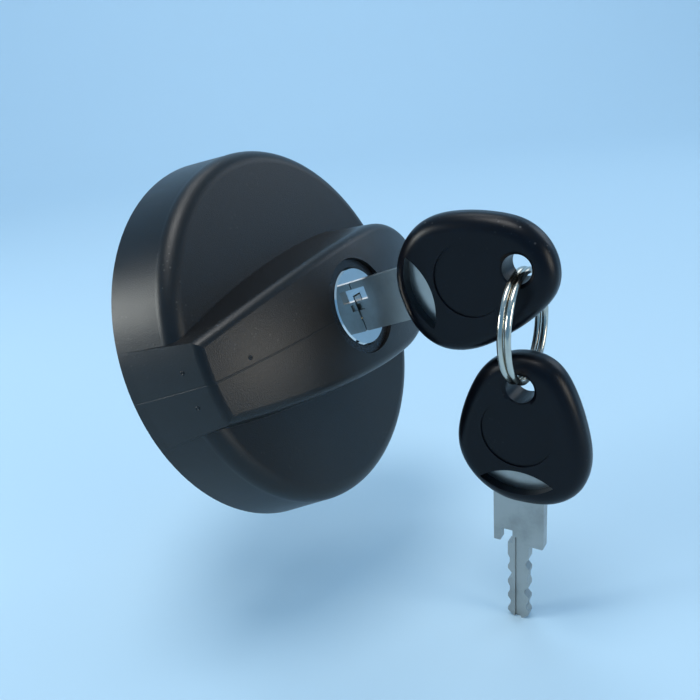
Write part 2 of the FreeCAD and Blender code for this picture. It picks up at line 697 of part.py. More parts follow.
def plug_base():
    """Shallow cup pressed into the end of the barrel to close it."""
    low = -PLUG_DEPTH
    outer = BARREL_BORE - RUNNING_CLEARANCE
    inner = outer - PLUG_BASE_RIM_WALL
    return turned([
        (0, low),
        (outer, low),
        (outer, low + PLUG_BASE_RIM_HEIGHT),
        (inner, low + PLUG_BASE_RIM_HEIGHT),
        (inner, low + PLUG_BASE_THICKNESS),
        (0, low + PLUG_BASE_THICKNESS),
    ])


def flat_plate(points, thickness):
    """Plate of a given thickness, centred on the key's middle plane, from its outline corners."""
    corners = [Vector(x, y, -thickness / 2) for x, y in points]
    return Part.Face(Part.makePolygon(corners + corners[:1])).extrude(Vector(0, 0, thickness))


def bit_outline():
    """Outline of the narrow bit with the cuts along both of its edges and its tapered tip."""
    half = BIT_WIDTH / 2
    ramp = BITTING_PITCH / 4
    near = [(KEY_SHOULDER - FIT_GAP, SHANK_OFFSET - half)]
    far = [(KEY_SHOULDER - FIT_GAP, SHANK_OFFSET + half)]
    for depths, edge, sign in ((BITTING_NEAR_SIDE, near, -1), (BITTING_FAR_SIDE, far, 1)):
        for index, depth in enumerate(depths):
            start = KEY_SHOULDER + BITTING_START + BITTING_PITCH * index
            cut = SHANK_OFFSET + sign * (half - depth)
            crest = SHANK_OFFSET + sign * half
            edge.append((start, crest))
            edge.append((start + ramp, cut))
            edge.append((start + ramp + BITTING_FLAT, cut))
            edge.append((start + 2 * ramp + BITTING_FLAT, crest))
        edge.append((KEY_LENGTH - BIT_TIP_TAPER / 2, SHANK_OFFSET + sign * half))
        edge.append((KEY_LENGTH, SHANK_OFFSET + sign * BIT_TIP_WIDTH / 2))
    return near + far[::-1]


def key_blade():
    """Steel blade: head held in the bow, wide shank, notch beside the bit, and the grooved bit."""
    half = SHANK_WIDTH / 2
    low = SHANK_OFFSET - half
    high = SHANK_OFFSET + half
    shank = flat_plate([
        (HEAD_END - FIT_GAP, low),
        (KEY_SHOULDER, low),
        (KEY_SHOULDER, high - SHOULDER_CHAMFER),
        (KEY_SHOULDER - SHOULDER_CHAMFER, high),
        (HEAD_END - FIT_GAP, high),
    ], BLADE_THICKNESS)
    head_half = HEAD_WIDTH / 2
    head = flat_plate([
        (HEAD_START, SHANK_OFFSET - head_half),
        (HEAD_TAPER_START, SHANK_OFFSET - head_half),
        (HEAD_END, SHANK_OFFSET - head_half + HEAD_TAPER),
        (HEAD_END, SHANK_OFFSET + head_half - HEAD_TAPER),
        (HEAD_TAPER_START, SHANK_OFFSET + head_half),
        (HEAD_START, SHANK_OFFSET + head_half),
    ], BLADE_THICKNESS)
    bit = flat_plate(bit_outline(), BLADE_THICKNESS)
    blade = head.fuse(shank).fuse(bit)
    notch_low = low + PRONG_WIDTH
    blade = blade.cut(block(
        KEY_SHOULDER - NOTCH_DEPTH, KEY_SHOULDER + FIT_GAP / 2,
        notch_low, notch_low + NOTCH_WIDTH, -FAR, FAR,
    ))
    groove_half = GROOVE_WIDTH / 2
    groove_floor = BLADE_THICKNESS / 2 - GROOVE_DEPTH
    blade = blade.cut(block(
        KEY_SHOULDER - GROOVE_LEAD, KEY_LENGTH + FAR,
        SHANK_OFFSET - groove_half, SHANK_OFFSET + groove_half, groove_floor, FAR,
    ))
    return blade.removeSplitter()


def lens(depth_low, depth_high, growth):
    """Lens-shaped window between two arcs through the same two corners."""
    top = Vector(WINDOW_TOP[0], WINDOW_TOP[1] - growth, depth_low)
    bottom = Vector(WINDOW_BOTTOM[0], WINDOW_BOTTOM[1] + growth, depth_low)
    middle = (WINDOW_TOP[1] + WINDOW_BOTTOM[1]) / 2
    inner = Part.Arc(top, Vector(WINDOW_INNER_BULGE - growth, middle, depth_low), bottom).toShape()
    outer = Part.Arc(bottom, Vector(WINDOW_OUTER_BULGE + growth, middle, depth_low), top).toShape()
    return Part.Face(Part.Wire([inner, outer])).extrude(Vector(0, 0, depth_high - depth_low))


def key_bow(blade):
    """Rounded moulding over the blade's head: ring hole, plain disc recess and metal window."""
    half = BOW_THICKNESS / 2
    curve = Part.BSplineCurve()
    curve.interpolate([Vector(x, y, -half) for x, y in BOW_OUTLINE], PeriodicFlag=True)
    bow = Part.Face(Part.Wire(curve.toShape())).extrude(Vector(0, 0, BOW_THICKNESS))
    rims = [edge for edge in bow.Edges if abs(abs(edge.CenterOfMass.z) - half) < FIT_GAP]
    bow = bow.makeFillet(BOW_EDGE_RADIUS, rims)
    hole = disc(BOW_HOLE_RADIUS, -FAR, FAR)
    mouth = BOW_HOLE_RADIUS + BOW_HOLE_CHAMFER
    for sign in (1, -1):
        flare = Part.makeCone(BOW_HOLE_RADIUS, mouth, BOW_HOLE_CHAMFER,
                              Vector(0, 0, sign * (half - BOW_HOLE_CHAMFER)), Vector(0, 0, sign))
        hole = hole.fuse(flare)
    bow = bow.cut(hole)
    bow = bow.cut(disc(BOW_DISC_RADIUS, half - BOW_DISC_DEPTH, FAR, BOW_DISC_AT[0], BOW_DISC_AT[1]))
    bow = bow.cut(disc(BOW_DISC_RADIUS, -FAR, BOW_DISC_DEPTH - half, BOW_DISC_AT[0], BOW_DISC_AT[1]))
    bow = bow.cut(lens(-FAR, FAR, 0))
    return bow.cut(blade)


def ring_turn(level):
    """One part turn of the ring's round wire at a level, open at the step."""
    section = Part.Face(Part.Wire(Part.makeCircle(RING_WIRE / 2, Vector(RING_RADIUS, 0, level), Vector(0, 1, 0))))
    section.rotate(ORIGIN, AXIS, RING_STEP_ANGLE / 2)
    return section.revolve(ORIGIN, AXIS, 360 - RING_STEP_ANGLE)


def ring_step():
    """Rising stretch of wire that joins the end of the lower turn to the start of the upper one."""
    half = RING_STEP_ANGLE / 2
    points = []
    for share, level in RING_STEP_SHAPE:
        x, y = on_circle(RING_RADIUS, half * share)
        points.append(Vector(x, y, level * RING_PITCH))
    start_x, start_y = on_circle(1.0, 90 - half)
    curve = Part.BSplineCurve()
    curve.interpolate(points, InitialTangent=Vector(start_x, start_y, 0), FinalTangent=Vector(-start_x, start_y, 0))
    section = Part.Wire(Part.makeCircle(RING_WIRE / 2, points[0], Vector(start_x, start_y, 0)))
    return Part.Wire(curve.toShape()).makePipeShell([section], True, True)


def split_ring():
    """Split ring in its own plane: two part turns of wire joined by the rising stretch."""
    lower = ring_turn(-RING_PITCH / 2)
    upper = ring_turn(RING_PITCH / 2)
    return lower.fuse(ring_step()).fuse(upper)


def lean_with_neck(shape):
    """Turn a shape from the cap's own axes to the upright frame."""
    shape = shape.copy()
    shape.rotate(ORIGIN, Vector(1, 0, 0), 90 - NECK_TILT)
    return shape


def upright_point(x, y, z):
    """Point of the cap's own axes in the upright frame."""
    return Rotation(Vector(1, 0, 0), 90 - NECK_TILT).multVec(Vector(x, y, z))


def placed(shape, origin, along, across):
    """Move a shape so that its x axis lies along and its y axis across two directions."""
    turn = Rotation(along, across, along.cross(across), "XYZ")
    moved = shape.copy()
    moved.Placement = Placement(origin, turn).multiply(shape.Placement)
    return moved


def key_two_lean(blade, bow):
    """Angle by which the hanging key leans so that its weight is under the ring."""
    steel = blade.Volume * STEEL_DENSITY
    plastic = bow.Volume * BOW_DENSITY
    centre = (blade.CenterOfGravity * steel + bow.CenterOfGravity * plastic) * (1 / (steel + plastic))
    return math.degrees(math.atan2(centre.y, centre.x + RING_HANG))


def main():
    cap_parts = {
        "grip_cover": grip_cover(),
        "lock_housing": lock_housing(),
        "housing_clip": housing_clip(),
        "lock_rotor": lock_rotor(),
        "rotor_face": rotor_face(),
        "rotor_seal": rotor_seal(),
        "wafers": wafers(),
        "wafer_springs": wafer_springs(),
        "cam": cam(),
        "cam_screw": cam_screw(),
        "lock_bolt": lock_bolt(),
        "bolt_pin": bolt_pin(),
        "bolt_carrier": bolt_carrier(),
        "carrier_screws": carrier_screws(),
        "plug_body": plug_body(),
        "gasket": gasket(),
        "cover_screws": cover_screws(),
        "plug_base": plug_base(),
    }
    parts = {name: lean_with_neck(shape) for name, shape in cap_parts.items()}

    blade = key_blade()
    bow = key_bow(blade)
    inward = upright_point(0, 0, -1)
    downward = upright_point(0, -1, 0)
    hole_height = LOCK_FACE_HEIGHT + KEY_SEAT_GAP + KEY_SHOULDER
    hole_one = upright_point(0, SHANK_OFFSET, hole_height)
    parts["key_1_blade"] = placed(blade, hole_one, inward, downward)
    parts["key_1_bow"] = placed(bow, hole_one, inward, downward)

    plumb = Vector(0, 0, -1)
    top_wire = hole_one + plumb * RING_HANG
    ring_centre = top_wire + plumb * RING_RADIUS
    step_turn = Rotation(Vector(0, 1, 0), -RING_STEP_AT)
    step_side = step_turn.multVec(Vector(1, 0, 0))
    parts["split_ring"] = placed(split_ring(), ring_centre, step_side, step_turn.multVec(plumb))

    low_wire = ring_centre + plumb * RING_RADIUS
    lean = Rotation(Vector(1, 0, 0), -key_two_lean(blade, bow))
    key_two_along = lean.multVec(plumb)
    key_two_across = lean.multVec(Vector(0, -1, 0))
    hole_two = low_wire + key_two_along * RING_HANG
    parts["key_2_blade"] = placed(blade, hole_two, key_two_along, key_two_across)
    parts["key_2_bow"] = placed(bow, hole_two, key_two_along, key_two_across)

    for name, shape in parts.items():
        shape.exportStep("parts/" + name + ".step")
    for label, point in (("key 1 ring pivot", top_wire), ("key 2 pivot", low_wire), ("hole 2", hole_two)):
        print(label, [round(value, 4) for value in point])


main()
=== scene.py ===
import json
import math

import bpy
from mathutils import Matrix, Vector
from mathutils.bvhtree import BVHTree


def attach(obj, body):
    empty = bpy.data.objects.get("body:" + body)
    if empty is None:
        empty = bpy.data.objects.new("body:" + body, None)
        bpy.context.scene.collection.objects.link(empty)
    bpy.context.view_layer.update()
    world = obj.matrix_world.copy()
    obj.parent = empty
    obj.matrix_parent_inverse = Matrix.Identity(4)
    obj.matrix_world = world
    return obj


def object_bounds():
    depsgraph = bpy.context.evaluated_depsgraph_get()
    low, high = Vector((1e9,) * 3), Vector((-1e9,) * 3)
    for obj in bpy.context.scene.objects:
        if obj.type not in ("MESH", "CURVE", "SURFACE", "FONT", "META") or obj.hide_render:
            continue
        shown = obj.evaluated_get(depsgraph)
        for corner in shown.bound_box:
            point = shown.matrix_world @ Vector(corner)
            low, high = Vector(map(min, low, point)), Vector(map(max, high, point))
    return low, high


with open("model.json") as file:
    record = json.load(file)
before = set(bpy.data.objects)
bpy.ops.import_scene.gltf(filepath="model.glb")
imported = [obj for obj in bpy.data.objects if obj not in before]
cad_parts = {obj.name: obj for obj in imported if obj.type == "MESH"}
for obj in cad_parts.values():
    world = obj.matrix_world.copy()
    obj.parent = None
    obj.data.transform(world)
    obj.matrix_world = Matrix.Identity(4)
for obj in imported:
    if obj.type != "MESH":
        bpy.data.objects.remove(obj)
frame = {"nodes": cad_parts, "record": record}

bl_info = {
    "name": "Water Tank Filler Cap",
    "version": (1, 0, 0),
    "blender": (4, 5, 0),
    "location": "View3D > Sidebar > Filler Cap",
    "description": "Finishes for a locking filler cap with its two keys, and the studio it is shown in",
    "category": "Object",
}

MM = 0.001
CAD_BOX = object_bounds()

# The cap's own axes: x along the grip, y up the face, z outward from the filler neck
NECK_INWARD = Vector(frame["record"]["mounts"][0]["axis"])
CAP_OUTWARD = -NECK_INWARD
CAP_ALONG = Vector((1, 0, 0))
CAP_UP = CAP_OUTWARD.cross(CAP_ALONG)


class FillerCapFinish(bpy.types.PropertyGroup):
    """Colours and finishes of the cap and its keys."""

    moulding_colour: bpy.props.FloatVectorProperty(
        name="Moulding colour", description="Base colour of the black mouldings",
        subtype="COLOR", size=3, min=0, max=1, default=(0.0065, 0.0064, 0.0066))
    bow_colour: bpy.props.FloatVectorProperty(
        name="Bow colour", description="Base colour of the key bows",
        subtype="COLOR", size=3, min=0, max=1, default=(0.0018, 0.0022, 0.0042))
    blade_colour: bpy.props.FloatVectorProperty(
        name="Blade colour", description="Colour of the plated key steel",
        subtype="COLOR", size=3, min=0, max=1, default=(0.45, 0.43, 0.40))
    polish_colour: bpy.props.FloatVectorProperty(
        name="Polish colour", description="Colour of the polished lock face",
        subtype="COLOR", size=3, min=0, max=1, default=(0.74, 0.74, 0.73))
    moulding_grain: bpy.props.FloatProperty(
        name="Moulding grain", description="Depth of the fine grain of the outer moulding",
        subtype="DISTANCE", unit="LENGTH", min=0, max=0.001, default=0.00004)
    parting_width: bpy.props.FloatProperty(
        name="Parting line width", description="Width of the parting line along the grip",
        subtype="DISTANCE", unit="LENGTH", min=0, max=0.002, default=0.00045)
    parting_rise: bpy.props.FloatProperty(
        name="Parting line rise", description="How far the parting line stands above the moulding",
        subtype="DISTANCE", unit="LENGTH", min=0, max=0.001, default=0.00005)
    mark_radius: bpy.props.FloatProperty(
        name="Mark radius", description="Radius of the small moulding marks on the grip",
        subtype="DISTANCE", unit="LENGTH", min=0, max=0.003, default=0.0005)
    mark_rise: bpy.props.FloatProperty(
        name="Mark rise", description="How far a moulding mark's rim stands above the moulding",
        subtype="DISTANCE", unit="LENGTH", min=0, max=0.001, default=0.0002)


class FillerCapStage(bpy.types.PropertyGroup):
    """Floor, lamps and camera."""

    floor_colour: bpy.props.FloatVectorProperty(
        name="Floor colour", description="Colour of the plain floor",
        subtype="COLOR", size=3, min=0, max=1, default=(0.50, 0.68, 0.80))
    lens: bpy.props.FloatProperty(
        name="Lens", description="Focal length of the camera",
        subtype="DISTANCE_CAMERA", unit="CAMERA", min=1, default=41.14)
    world_colour: bpy.props.FloatVectorProperty(
        name="World colour", description="Colour of the light from all round",
        subtype="COLOR", size=3, min=0, max=1, default=(0.45, 0.72, 1.0))
    world_light: bpy.props.FloatProperty(
        name="World light", description="Strength of the light from all round", min=0, default=0.62)
    lamp_power: bpy.props.FloatProperty(
        name="Lamp power", description="Power of the lamp overhead, which the others follow",
        subtype="POWER", unit="POWER", min=0, default=1.6)


def finish_settings():
    return bpy.context.scene.filler_cap_finish


def stage_settings():
    return bpy.context.scene.filler_cap_stage


def cap_point(x, y, z):
    """Point in the model's frame from millimetres on the cap's own axes."""
    return (CAP_ALONG * x + CAP_UP * y + CAP_OUTWARD * z) * MM


# Shared node groups

def new_group(name, inputs, outputs):
    """Empty shader node group with its sockets, and its input and output nodes."""
    group = bpy.data.node_groups.new(name, "ShaderNodeTree")
    for label, kind, default in inputs:
        socket = group.interface.new_socket(name=label, in_out="INPUT", socket_type=kind)
        socket.default_value = default
    for label, kind in outputs:
        group.interface.new_socket(name=label, in_out="OUTPUT", socket_type=kind)
    entry = group.nodes.new("NodeGroupInput")
    leave = group.nodes.new("NodeGroupOutput")
    return group, entry, leave


def add_node(tree, kind, **values):
    """Node with its properties set, and its sockets where the name is a socket's."""
    node = tree.nodes.new(kind)
    for key, value in values.items():
        if key in node.inputs:
            node.inputs[key].default_value = value
        else:
            setattr(node, key, value)
    return node


def mapped_range(tree, source, low, high):
    """Value from 0..1 spread between two sockets."""
    node = add_node(tree, "ShaderNodeMapRange")
    for value, label in ((source, "Value"), (low, "To Min"), (high, "To Max")):
        tree.links.new(value, node.inputs[label])
    return node.outputs["Result"]


def masked_range(tree, source, start, end, interpolation="SMOOTHSTEP"):
    """Mask that goes from 0 to 1 while the source goes from start to end."""
    node = add_node(tree, "ShaderNodeMapRange", interpolation_type=interpolation)
    node.inputs["From Min"].default_value = start
    node.inputs["From Max"].default_value = end
    tree.links.new(source, node.inputs["Value"])
    return node.outputs["Result"]


def mixed_value(tree, share, first, second):
    """Fixed share between two value sockets."""
    node = add_node(tree, "ShaderNodeMix", data_type="FLOAT")
    node.inputs["Factor"].default_value = share
    tree.links.new(first, node.inputs[2])
    tree.links.new(second, node.inputs[3])
    return node.outputs[0]


def mixed_colour(tree, mask, first, second):
    """Colour between two sockets by a mask."""
    node = add_node(tree, "ShaderNodeMix", data_type="RGBA")
    tree.links.new(mask, node.inputs["Factor"])
    tree.links.new(first, node.inputs[6])
    tree.links.new(second, node.inputs[7])
    return node.outputs[2]


def moulded_grain_group():
    """Fine grain and broad cloudiness of an injection moulding."""
    group, entry, leave = new_group("Moulded Grain", (
        ("Colour", "NodeSocketColor", (0.02, 0.02, 0.02, 1)),
        ("Pale Colour", "NodeSocketColor", (0.03, 0.03, 0.03, 1)),
        ("Grain Scale", "NodeSocketFloat", 2600.0),
        ("Cloud Scale", "NodeSocketFloat", 90.0),
        ("Roughness Low", "NodeSocketFloat", 0.3),
        ("Roughness High", "NodeSocketFloat", 0.45),
    ), (
        ("Colour", "NodeSocketColor"),
        ("Roughness", "NodeSocketFloat"),
        ("Height", "NodeSocketFloat"),
    ))
    place = add_node(group, "ShaderNodeTexCoord").outputs["Object"]
    grain = add_node(group, "ShaderNodeTexNoise", Detail=3.0, Roughness=0.6)
    cloud = add_node(group, "ShaderNodeTexNoise", Detail=4.0, Roughness=0.55)
    for noise, label in ((grain, "Grain Scale"), (cloud, "Cloud Scale")):
        group.links.new(place, noise.inputs["Vector"])
        group.links.new(entry.outputs[label], noise.inputs["Scale"])
    colour = mixed_colour(group, cloud.outputs["Fac"], entry.outputs["Colour"],
                          entry.outputs["Pale Colour"])
    grain_share = 0.35
    mixed = mixed_value(group, grain_share, cloud.outputs["Fac"], grain.outputs["Fac"])
    rough = mapped_range(group, mixed, entry.outputs["Roughness Low"], entry.outputs["Roughness High"])
    group.links.new(colour, leave.inputs["Colour"])
    group.links.new(rough, leave.inputs["Roughness"])
    group.links.new(grain.outputs["Fac"], leave.inputs["Height"])
    return group


def settled_dust_group():
    """Sparse pale specks that lie on surfaces facing up."""
    group, entry, leave = new_group("Settled Dust", (
        ("Colour", "NodeSocketColor", (0.02, 0.02, 0.02, 1)),
        ("Dust Colour", "NodeSocketColor", (0.35, 0.33, 0.31, 1)),
        ("Amount", "NodeSocketFloat", 0.3),
        ("Speck Scale", "NodeSocketFloat", 900.0),
    ), (
        ("Colour", "NodeSocketColor"),
    ))
    place = add_node(group, "ShaderNodeTexCoord").outputs["Object"]
    speck = add_node(group, "ShaderNodeTexVoronoi", feature="F1", Randomness=1.0)
    patch = add_node(group, "ShaderNodeTexNoise", Scale=140.0, Detail=2.0)
    group.links.new(place, speck.inputs["Vector"])
    group.links.new(entry.outputs["Speck Scale"], speck.inputs["Scale"])
    group.links.new(place, patch.inputs["Vector"])
    facing = add_node(group, "ShaderNodeSeparateXYZ")
    group.links.new(add_node(group, "ShaderNodeNewGeometry").outputs["Normal"], facing.inputs[0])
    speck_edge, speck_heart = 0.22, 0.12
    patch_edge, patch_heart = 0.5, 0.75
    facing_down, facing_up = -0.1, 0.8
    mask = masked_range(group, speck.outputs["Distance"], speck_edge, speck_heart)
    patchy = masked_range(group, patch.outputs["Fac"], patch_edge, patch_heart)
    upward = masked_range(group, facing.outputs["Z"], facing_down, facing_up, "LINEAR")
    for factor in (patchy, upward, entry.outputs["Amount"]):
        product = add_node(group, "ShaderNodeMath", operation="MULTIPLY")
        group.links.new(mask, product.inputs[0])
        group.links.new(factor, product.inputs[1])
        mask = product.outputs[0]
    colour = mixed_colour(group, mask, entry.outputs["Colour"], entry.outputs["Dust Colour"])
    group.links.new(colour, leave.inputs["Colour"])
    return group


def drawn_metal_group():
    """Fine lines of rolled, drawn or ground metal, with light tarnish."""
    group, entry, leave = new_group("Drawn Metal", (
        ("Colour", "NodeSocketColor", (0.6, 0.6, 0.6, 1)),
        ("Tarnish Colour", "NodeSocketColor", (0.45, 0.43, 0.4, 1)),
        ("Line Stretch", "NodeSocketVector", (900.0, 900.0, 40.0)),
        ("Tarnish Scale", "NodeSocketFloat", 120.0),
        ("Roughness Low", "NodeSocketFloat", 0.2),
        ("Roughness High", "NodeSocketFloat", 0.4),
    ), (
        ("Colour", "NodeSocketColor"),
        ("Roughness", "NodeSocketFloat"),
        ("Height", "NodeSocketFloat"),
    ))
    place = add_node(group, "ShaderNodeTexCoord").outputs["Object"]
    stretch = add_node(group, "ShaderNodeVectorMath", operation="MULTIPLY")
    group.links.new(place, stretch.inputs[0])
    group.links.new(entry.outputs["Line Stretch"], stretch.inputs[1])
    lines = add_node(group, "ShaderNodeTexNoise", Scale=1.0, Detail=4.0, Roughness=0.6)
    group.links.new(stretch.outputs[0], lines.inputs["Vector"])
    tarnish = add_node(group, "ShaderNodeTexNoise", Detail=5.0, Roughness=0.6)
    group.links.new(place, tarnish.inputs["Vector"])
    group.links.new(entry.outputs["Tarnish Scale"], tarnish.inputs["Scale"])
    bare, tarnished = 0.4, 0.75
    tarnish_share = 0.5
    spread = masked_range(group, tarnish.outputs["Fac"], bare, tarnished)
    colour = mixed_colour(group, spread, entry.outputs["Colour"], entry.outputs["Tarnish Colour"])
    mixed = mixed_value(group, tarnish_share, lines.outputs["Fac"], spread)
    rough = mapped_range(group, mixed, entry.outputs["Roughness Low"], entry.outputs["Roughness High"])
    group.links.new(colour, leave.inputs["Colour"])
    group.links.new(rough, leave.inputs["Roughness"])
    group.links.new(lines.outputs["Fac"], leave.inputs["Height"])
    return group


def shared_group(name):
    """The shared node group of that name, built the first time it is asked for."""
    builders = {
        "Moulded Grain": moulded_grain_group,
        "Settled Dust": settled_dust_group,
        "Drawn Metal": drawn_metal_group,
    }
    return bpy.data.node_groups.get(name) or builders[name]()


# Materials

def place_group(tree, name, **values):
    """A shared group's node in a material, with its inputs set; a name's underscores are spaces."""
    node = add_node(tree, "ShaderNodeGroup", node_tree=shared_group(name))
    for label, value in values.items():
        node.inputs[label.replace("_", " ")].default_value = value
    return node


def new_material(name):
    """Node material with only its shader, and that shader."""
    material = bpy.data.materials.new(name)
    material.use_nodes = True
    return material, material.node_tree, material.node_tree.nodes["Principled BSDF"]


def bumped(tree, shader, height, distance):
    """Feed a height into the shader's normal."""
    bump = add_node(tree, "ShaderNodeBump", Strength=1.0, Distance=distance)
    tree.links.new(height, bump.inputs["Height"])
    tree.links.new(bump.outputs["Normal"], shader.inputs["Normal"])


def opaque(colour, gain=1.0):
    """Colour with alpha from three numbers, made paler or darker by a gain."""
    return (min(colour[0] * gain, 1), min(colour[1] * gain, 1), min(colour[2] * gain, 1), 1)


def moulding_material(name, colour, rough, grain_depth, grain_scale=2600.0, dust=0.0, specular=0.5):
    """Grained plastic with an optional trace of dust."""
    material, tree, shader = new_material(name)
    grain = place_group(
        tree, "Moulded Grain", Colour=opaque(colour, 0.85), Pale_Colour=opaque(colour, 1.3),
        Grain_Scale=grain_scale, Roughness_Low=rough[0], Roughness_High=rough[1])
    shader.inputs["Specular IOR Level"].default_value = specular
    colour_out = grain.outputs["Colour"]
    if dust:
        specks = place_group(tree, "Settled Dust", Amount=dust)
        tree.links.new(colour_out, specks.inputs["Colour"])
        colour_out = specks.outputs["Colour"]
    tree.links.new(colour_out, shader.inputs["Base Color"])
    tree.links.new(grain.outputs["Roughness"], shader.inputs["Roughness"])
    bumped(tree, shader, grain.outputs["Height"], grain_depth)
    return material


def metal_material(name, colour, tarnish, rough, stretch, line_depth, tarnish_scale=120.0):
    """Bare or plated metal with fine lines and light tarnish."""
    material, tree, shader = new_material(name)
    metal = place_group(
        tree, "Drawn Metal", Colour=opaque(colour), Tarnish_Colour=opaque(tarnish), Line_Stretch=stretch,
        Tarnish_Scale=tarnish_scale, Roughness_Low=rough[0], Roughness_High=rough[1])
    shader.inputs["Metallic"].default_value = 1.0
    tree.links.new(metal.outputs["Colour"], shader.inputs["Base Color"])
    tree.links.new(metal.outputs["Roughness"], shader.inputs["Roughness"])
    bumped(tree, shader, metal.outputs["Height"], line_depth)
    return material


def rubber_material():
    """Soft black rubber with a chalky bloom."""
    material, tree, shader = new_material("Seal Rubber")
    grain = place_group(
        tree, "Moulded Grain", Colour=(0.018, 0.018, 0.018, 1), Pale_Colour=(0.045, 0.045, 0.046, 1),
        Grain_Scale=1500.0, Cloud_Scale=160.0, Roughness_Low=0.62, Roughness_High=0.85)
    shader.inputs["Specular IOR Level"].default_value = 0.35
    tree.links.new(grain.outputs["Colour"], shader.inputs["Base Color"])
    tree.links.new(grain.outputs["Roughness"], shader.inputs["Roughness"])
    bumped(tree, shader, grain.outputs["Height"], 0.00005)
    return material


def paint_node(name, material):
    """Give a CAD node one material."""
    materials = frame["nodes"][name].data.materials
    materials.clear()
    materials.append(material)


# Modelled pieces

def cover_surface():
    """Search tree over the outer moulding, to lay small relief on it."""
    mesh = frame["nodes"]["grip_cover"].data
    return BVHTree.FromPolygons([v.co for v in mesh.vertices], [p.vertices for p in mesh.polygons])


def relief_object(name, verts, faces, material):
    """Mesh piece that rides on the cap."""
    mesh = bpy.data.meshes.new(name)
    mesh.from_pydata(verts, [], faces)
    mesh.update()
    for polygon in mesh.polygons:
        polygon.use_smooth = True
    piece = bpy.data.objects.new(name, mesh)
    bpy.context.scene.collection.objects.link(piece)
    mesh.materials.append(material)
    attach(piece, "cap")


class CAP_OT_outer_moulding(bpy.types.Operator):
    """Finish the outer moulding with its grip, parting line and moulding marks."""

    bl_idname = "filler_cap.outer_moulding"
    bl_label = "Outer Moulding"

    # x and z in mm; shares of the line's width and rise; places in mm; shares of a mark's radius and rise
    parting_corners = ((-40.4, 0.8), (-39.4, 13.0), (-38.9, 17.5), (-37.6, 20.2), (-34.5, 22.4),
                       (-24.0, 26.2), (-10.2, 29.2))
    parting_steps = 14
    parting_profile = ((-0.5, -0.3), (-0.25, 0.6), (0.0, 1.0), (0.25, 0.6), (0.5, -0.3))
    mark_places = ((-38.5, 3.5, 14.0), (-38.5, -3.5, 14.0), (-30.0, 1.4, 23.0))
    mark_rings = ((1.0, -0.3), (0.72, 1.0), (0.45, 0.7), (0.0, -0.1))
    mark_sides = 20

    def execute(self, context):
        values = finish_settings()
        material = moulding_material(
            "Cover Moulding", values.moulding_colour, (0.30, 0.40), values.moulding_grain, 4200.0,
            dust=0.2, specular=0.36)
        paint_node("grip_cover", material)
        surface = cover_surface()
        self.add_parting_line(surface, material, values)
        self.add_marks(surface, material, values)
        return {"FINISHED"}

    def add_parting_line(self, surface, material, values):
        """Low ridge that follows the end of the grip and its crest to the lock."""
        verts = []
        path = []
        for (x0, z0), (x1, z1) in zip(self.parting_corners, self.parting_corners[1:]):
            for step in range(self.parting_steps):
                share = step / self.parting_steps
                path.append((x0 + (x1 - x0) * share, z0 + (z1 - z0) * share))
        path.append(self.parting_corners[-1])
        for x, z in path:
            for across, rise in self.parting_profile:
                start = cap_point(x, across * values.parting_width / MM, z)
                spot, normal, _, _ = surface.find_nearest(start)
                verts.append(spot + normal * rise * values.parting_rise)
        width = len(self.parting_profile)
        faces = []
        for row in range(len(path) - 1):
            for column in range(width - 1):
                corner = row * width + column
                faces.append((corner, corner + 1, corner + width + 1, corner + width))
        relief_object("parting_line", verts, faces, material)

    def add_marks(self, surface, material, values):
        """Small raised rims with a sunk middle, left by the mould."""
        verts = []
        faces = []
        for place in self.mark_places:
            spot, normal, _, _ = surface.find_nearest(cap_point(*place))
            first = normal.orthogonal().normalized()
            second = normal.cross(first)
            base = len(verts)
            for share, rise in self.mark_rings:
                for side in range(self.mark_sides):
                    turn = 2 * math.pi * side / self.mark_sides
                    around = first * math.cos(turn) + second * math.sin(turn)
                    verts.append(spot + around * share * values.mark_radius
                                 + normal * rise * values.mark_rise)
            for row in range(len(self.mark_rings) - 1):
                for side in range(self.mark_sides):
                    after = (side + 1) % self.mark_sides
                    corner = base + row * self.mark_sides
                    faces.append((corner + side, corner + after,
                                  corner + self.mark_sides + after, corner + self.mark_sides + side))
        relief_object("moulding_marks", verts, faces, material)


class CAP_OT_lock(bpy.types.Operator):
    """Finish the lock barrel, its polished face and the pieces inside it."""

    bl_idname = "filler_cap.lock"
    bl_label = "Lock"

    def execute(self, context):
        values = finish_settings()
        coat = moulding_material("Housing Coat", (0.01, 0.01, 0.011), (0.22, 0.34), 0.00002, 3200.0,
                                 specular=0.35)
        paint_node("lock_housing", coat)
        polish = metal_material(
            "Polished Face", values.polish_colour, [c * 0.92 for c in values.polish_colour],
            (0.05, 0.11), (300.0, 300.0, 300.0), 0.0000004)
        paint_node("rotor_face", polish)
        brass = metal_material(
            "Machined Brass", (0.72, 0.56, 0.28), (0.55, 0.42, 0.22), (0.22, 0.38),
            (60.0, 900.0, 900.0), 0.00001)
        paint_node("lock_rotor", brass)
        stamped = metal_material(
            "Stamped Brass", (0.76, 0.61, 0.33), (0.6, 0.47, 0.25), (0.28, 0.42),
            (900.0, 120.0, 900.0), 0.00001)
        paint_node("wafers", stamped)
        spring = metal_material(
            "Spring Wire", (0.6, 0.6, 0.61), (0.42, 0.42, 0.43), (0.2, 0.32),
            (700.0, 700.0, 700.0), 0.000004)
        paint_node("wafer_springs", spring)
        paint_node("housing_clip", spring)
        paint_node("rotor_seal", rubber_material())
        return {"FINISHED"}


